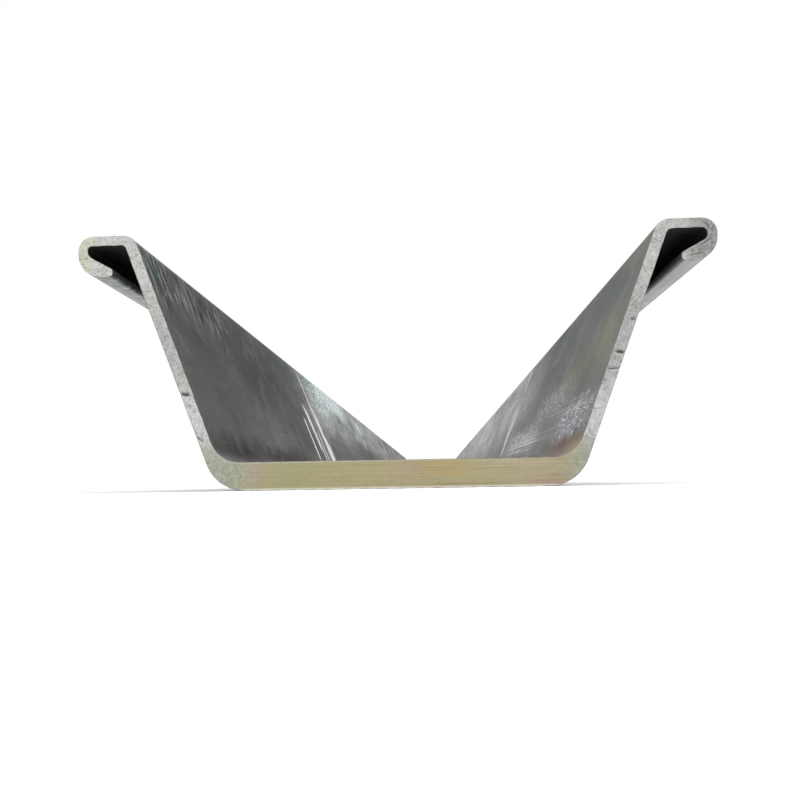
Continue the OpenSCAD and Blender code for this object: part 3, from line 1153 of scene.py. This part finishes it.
class SawnSteel(Coat):
    """Sawn end: pale speckled grey on the webs, brighter on the locks, khaki film on the pan."""

    def __init__(self, finish, effects):
        super().__init__("sawn_end", finish, effects)
        border = self.plus(-BORDER_WIDTH / 2, (self.noise(self.place, *BORDER), BORDER_WIDTH))
        self.across = self.calc("ADD", self.axis["X"], border)
        self.flecks = self.specks(self.place, *FLECKS)
        self.drag = self.streaks(self.place, *DRAG_LINES)
        self.webs_and_locks()
        film = self.pan_film()
        self.speckle(film)
        self.nicks()
        self.surface(film)

    def webs_and_locks(self):
        """Grey webs and brighter locks with green and pink places, bright feet and torn hooks."""
        finish, level = self.finish, self.axis["Z"]
        self.colour = self.blend(self.ease(level, *LOCK_LEVEL), finish.sawn_web, finish.sawn_lock)
        hue = self.noise(self.place, *HUE)
        self.lay(self.ease(hue, 0.42, 0.65, 0.0, 0.4), finish.sawn_green)
        self.lay(self.ease(hue, 0.56, 0.35, 0.0, 0.35), finish.sawn_pink)
        foot = self.times(*(self.ease(level, *band) for band in FOOT_LEVELS), 0.8)
        self.lay(foot, finish.sawn_foot)
        torn = self.streaks(self.place, *TORN_MARKS)["Mask"]
        for band, share, shade, torn_share, torn_shade in (
            (LEFT_HOOK, 0.45, finish.left_hook, 0.35, finish.left_torn),
            (RIGHT_HOOK, 0.75, finish.right_hook, 0.6, finish.right_torn),
        ):
            hook = self.ease(self.axis["X"], *band)
            self.lay(self.times(hook, share), shade)
            self.lay(self.times(hook, torn, torn_share), torn_shade)
        self.lay(self.times(self.ease(level, *BEND_LEVEL), 0.75), finish.sawn_bend)

    def pan_film(self):
        """Khaki film on the pan's end, with ochre and brown lines, tinted places and a painted highlight
        along its lower edge.
        """
        finish = self.finish
        film = self.times(
            *(self.ease(self.across, *band) for band in FILM_STATIONS),
            self.ease(self.axis["Z"], *FILM_LEVEL),
        )
        khaki = self.blend(self.times(self.drag["Mask"], 0.6), finish.sawn_pan, finish.ochre)
        wandering = self.drifted(PATCH_DRIFT)
        for station, level, half_width, half_height, share, shade in PAN_PATCHES:
            size = (half_width, PATCH_LENGTH, half_height)
            patch = self.stroke(wandering, (station, FRONT, level), size, PATCH_SOFTNESS)
            khaki = self.blend(self.times(patch, share), khaki, shade)
        rake = self.streaks(self.place, *RAKE_LINES)["Mask"]
        rake = self.times(rake, self.ease(self.across, *RAKE_STATION, 0.15, 0.75))
        khaki = self.blend(rake, khaki, finish.rake)
        khaki = self.blend(self.ease(self.drag["Value"], 0.45, 0.3, 0.0, 0.5), khaki, finish.drag)
        # Painted highlight along the lower edge of the pan's sawn end
        lower_rim_highlight = self.times(self.ease(self.axis["Z"], *LOWER_RIM_LEVEL), 0.8)
        self.lay(film, self.blend(lower_rim_highlight, khaki, finish.lower_rim_highlight))
        return film

    def speckle(self, film):
        """Mottle and flecks, both fainter in the film, and a painted highlight along the upper edge."""
        mottle = self.calc("SUBTRACT", self.noise(self.place, *SPECKLE), 0.5)
        light = self.plus(1.0, (self.ease(film, 0.0, 1.0, 1.5, 0.3), mottle))
        grey = self.node("ShaderNodeCombineXYZ", {0: light, 1: light, 2: light}).outputs[0]
        self.colour = self.blend(1.0, self.colour, grey, "MULTIPLY")
        flecks = self.times(self.flecks["Mask"], self.ease(film, 0.0, 1.0, 0.6, 0.12))
        self.lay(flecks, self.finish.fleck)
        # Painted highlight along the upper edge of the sawn end, brighter towards the left
        upper_rim_highlight = self.times(
            self.ease(self.trough, 0.2, 0.75),
            self.ease(self.axis["X"], *UPPER_RIM_STATION, 0.2, 0.75),
            self.ease(self.axis["Z"], *UPPER_RIM_LEVEL, 0.2, 1.0),
        )
        self.lay(upper_rim_highlight, self.finish.upper_rim_highlight)

    def nicks(self):
        """Dark marks in the nicks, darkest in the deepest ones."""
        nicked = self.drifted(NICK_DRIFT)
        masks = []
        for x0, z0, x1, z1, depth, width in NICKS.tolist():
            middle = ((x0 + x1) / 2, FRONT, (z0 + z1) / 2)
            half = math.hypot(x1 - x0, z1 - z0) / 2 + width
            turn = (0.0, -math.atan2(z1 - z0, x1 - x0), 0.0)
            size = (half, NICK_LENGTH, width * NICK_WIDENING)
            mask = self.stroke(nicked, middle, size, NICK_SOFTNESS, turn)
            masks.append(self.times(mask, min(1.0, depth * NICK_DARKNESS)))
        self.lay(self.union(*masks), self.finish.pit)

    def surface(self, film):
        """The shader's colour, roughness, metal and relief."""
        self.feed("Base Color", self.colour)
        rough = self.ease(self.flecks["Grain"], 0.3, 0.7, 0.42, 0.6)
        self.feed("Roughness", self.plus(rough, (film, 0.08)))
        self.feed("Metallic", self.ease(film, 0.0, 1.0, 0.3, 0.12))
        height = self.plus(self.times(self.flecks["Grain"], 0.35), (self.drag["Value"], 0.5))
        self.relief(height, *SAWN_RELIEF)


def build_pile(sizes, finish):
    """Makes the pile's mesh and finishes and sets it in place of the CAD solid."""
    mesh = pile_mesh("rolled_pile", sizes)
    effects = shared_effects()
    mesh.materials.append(MillScale(finish, effects, trough_face(sizes)).material)
    mesh.materials.append(SawnSteel(finish, effects).material)
    pile = bpy.data.objects.new("rolled_pile", mesh)
    bpy.context.scene.collection.objects.link(pile)
    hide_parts(PILE)
    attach(pile, "root")


# The stage

# Radii of the floor's rings and the number of its sides
FLOOR_RADII = (4.0, 12.0, 40.0, 120.0)
FLOOR_SIDES = 64
# The surround's light: its strength all round, and what it gains along an axis from one share of
# the way to another. It is brighter on the left, above, in front and straight behind.
SURROUND_BASE = 0.08
SURROUND_GAINS = (
    ("X", 0.25, -0.3, 0.34),
    ("Z", 0.36, 0.85, 1.25),
    ("Y", 0.2, -0.5, 0.22),
    ("Y", 0.97, 0.999, 0.3),
)
# Lamps: place, width and power. Both shine on the front half of the pile.
KEY_LAMP = ((-5.0, -12.0, 7.0), 9.0, 282.0)
FILL_LAMP = ((7.0, -5.0, 8.0), 7.0, 570.0)
LAMP_TARGET = (0.0, FRONT / 2, 0.1)
# Width of the camera's sensor in millimetres, and how near and how far it sees in metres
SENSOR_WIDTH = 36.0
CAMERA_REACH = (0.001, 500.0)


def build_floor(stage):
    """A plain disc under the pile: a middle point, and rings of points at growing radii round it."""
    turn = np.linspace(0, 2 * np.pi, FLOOR_SIDES, endpoint=False)
    rings = np.multiply.outer(FLOOR_RADII, ray(turn)).reshape(-1, 2)
    points = np.pad(rings, ((1, 0), (0, 1)))
    net = wrapped(1 + np.arange(len(rings)).reshape(-1, FLOOR_SIDES))
    middle = np.stack([np.zeros(FLOOR_SIDES, int), net[0, :-1], net[0, 1:]], 1)
    mesh = bpy.data.meshes.new("floor")
    mesh.from_pydata(points.tolist(), [], middle.tolist() + cells_of(net).tolist())
    material = bpy.data.materials.new("pale_floor")
    material.use_nodes = True
    shader = material.node_tree.nodes["Principled BSDF"]
    shader.inputs["Base Color"].default_value = (*stage.floor_tint, 1.0)
    shader.inputs["Roughness"].default_value = 0.9
    shader.inputs["Specular IOR Level"].default_value = 0.1
    mesh.materials.append(material)
    floor = bpy.data.objects.new("floor", mesh)
    bpy.context.scene.collection.objects.link(floor)


def build_light(stage):
    """Soft studio light: a pale surround that the camera sees as plain white, and two wide lamps."""
    world = bpy.data.worlds.new("studio")
    bpy.context.scene.world = world
    world.use_nodes = True
    world.node_tree.nodes.clear()
    board = NodeBoard(world.node_tree)
    way = board.node("ShaderNodeTexCoord").outputs["Generated"]
    axis = board.node("ShaderNodeSeparateXYZ", {0: way}).outputs
    soft = board.plus(SURROUND_BASE, *(
        (board.ease(axis[name], low, high), gain) for name, low, high, gain in SURROUND_GAINS
    ))
    lit = board.node("ShaderNodeBackground", {"Color": (1.0, 1.0, 1.0, 1.0), "Strength": soft})
    seen = board.node("ShaderNodeBackground", {"Color": (*stage.backdrop_tint, 1.0), "Strength": 1.0})
    camera = board.node("ShaderNodeLightPath").outputs["Is Camera Ray"]
    mix = board.node("ShaderNodeMixShader", {0: camera, 1: lit.outputs[0], 2: seen.outputs[0]})
    board.node("ShaderNodeOutputWorld", {"Surface": mix.outputs[0]})
    wide_light("key", *KEY_LAMP, stage.key_strength)
    wide_light("fill", *FILL_LAMP, stage.fill_strength)


def wide_light(name, eye, width, power, share):
    """A wide round lamp at eye, turned to its target and hidden from the camera."""
    data = bpy.data.lights.new(name, "AREA")
    data.shape, data.size, data.energy = "DISK", width, power * share
    lamp = bpy.data.objects.new(name, data)
    bpy.context.scene.collection.objects.link(lamp)
    lamp.matrix_world = look_from(eye, LAMP_TARGET)
    lamp.visible_camera = False


def look_from(eye, target):
    """Matrix of a light at eye that shines on target."""
    back = unit(np.subtract(eye, target))
    side = unit(np.cross((0.0, 0.0, 1.0), back))
    turned = np.eye(4)
    turned[:3, :3] = np.stack([side, np.cross(back, side), back], 1)
    turned[:3, 3] = eye
    return Matrix(turned.tolist())


def build_camera(stage):
    """The camera, low in front of the sawn end: yaw, then pitch, then roll about its own view."""
    data = bpy.data.cameras.new("camera")
    data.sensor_width, data.lens, data.shift_y = SENSOR_WIDTH, stage.camera_lens, stage.camera_shift
    data.clip_start, data.clip_end = CAMERA_REACH
    camera = bpy.data.objects.new("camera", data)
    bpy.context.scene.collection.objects.link(camera)
    camera.matrix_world = (
        Matrix.Translation((stage.camera_side, FRONT - stage.camera_distance, stage.camera_height))
        @ Matrix.Rotation(stage.camera_yaw, 4, "Z")
        @ Matrix.Rotation(math.pi / 2 + stage.camera_pitch, 4, "X")
        @ Matrix.Rotation(-stage.camera_roll, 4, "Z")
    )
    bpy.context.scene.camera = camera


# The add-on


class SHEETPILE_OT_pile(bpy.types.Operator):
    """Roll the pile and saw its ends"""

    bl_idname = "sheet_pile.pile"
    bl_label = "Rolled Pile"

    def execute(self, context):
        build_pile(context.scene.sheet_pile_sizes, context.scene.sheet_pile_finish)
        return {"FINISHED"}


class SHEETPILE_OT_stage(bpy.types.Operator):
    """Set up the floor, the light and the camera"""

    bl_idname = "sheet_pile.stage"
    bl_label = "Stage"

    def execute(self, context):
        stage = context.scene.sheet_pile_stage
        build_floor(stage)
        build_light(stage)
        build_camera(stage)
        context.scene.view_settings.view_transform = "Standard"
        return {"FINISHED"}


class SHEETPILE_PT_sidebar(bpy.types.Panel):
    """Sidebar list of the pile's operators and settings"""

    bl_idname = "SHEETPILE_PT_sidebar"
    bl_label = "Sheet Pile"
    bl_space_type = "VIEW_3D"
    bl_region_type = "UI"
    bl_category = "Sheet Pile"

    def draw(self, context):
        column = self.layout.column()
        for operator in (SHEETPILE_OT_pile, SHEETPILE_OT_stage):
            column.operator(operator.bl_idname)
        for name, kind in SETTINGS.items():
            box = column.box()
            for key in kind.__annotations__:
                box.prop(getattr(context.scene, name), key)


# Settings kept on the scene, and all classes that Blender has to know
SETTINGS = {
    "sheet_pile_sizes": SheetPileSizes,
    "sheet_pile_finish": SheetPileFinish,
    "sheet_pile_stage": SheetPileStage,
}
CLASSES = (*SETTINGS.values(), SHEETPILE_OT_pile, SHEETPILE_OT_stage, SHEETPILE_PT_sidebar)


def register():
    """Makes the classes known and gives each scene its settings."""
    for kind in CLASSES:
        bpy.utils.register_class(kind)
    for name, kind in SETTINGS.items():
        setattr(bpy.types.Scene, name, bpy.props.PointerProperty(type=kind))


def unregister():
    """Takes the settings off the scenes and forgets the classes."""
    for name in SETTINGS:
        delattr(bpy.types.Scene, name)
    for kind in reversed(CLASSES):
        bpy.utils.unregister_class(kind)


def main():
    """Registers the classes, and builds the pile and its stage."""
    register()
    bpy.ops.sheet_pile.pile()
    bpy.ops.sheet_pile.stage()


if __name__ == "__main__":
    main()
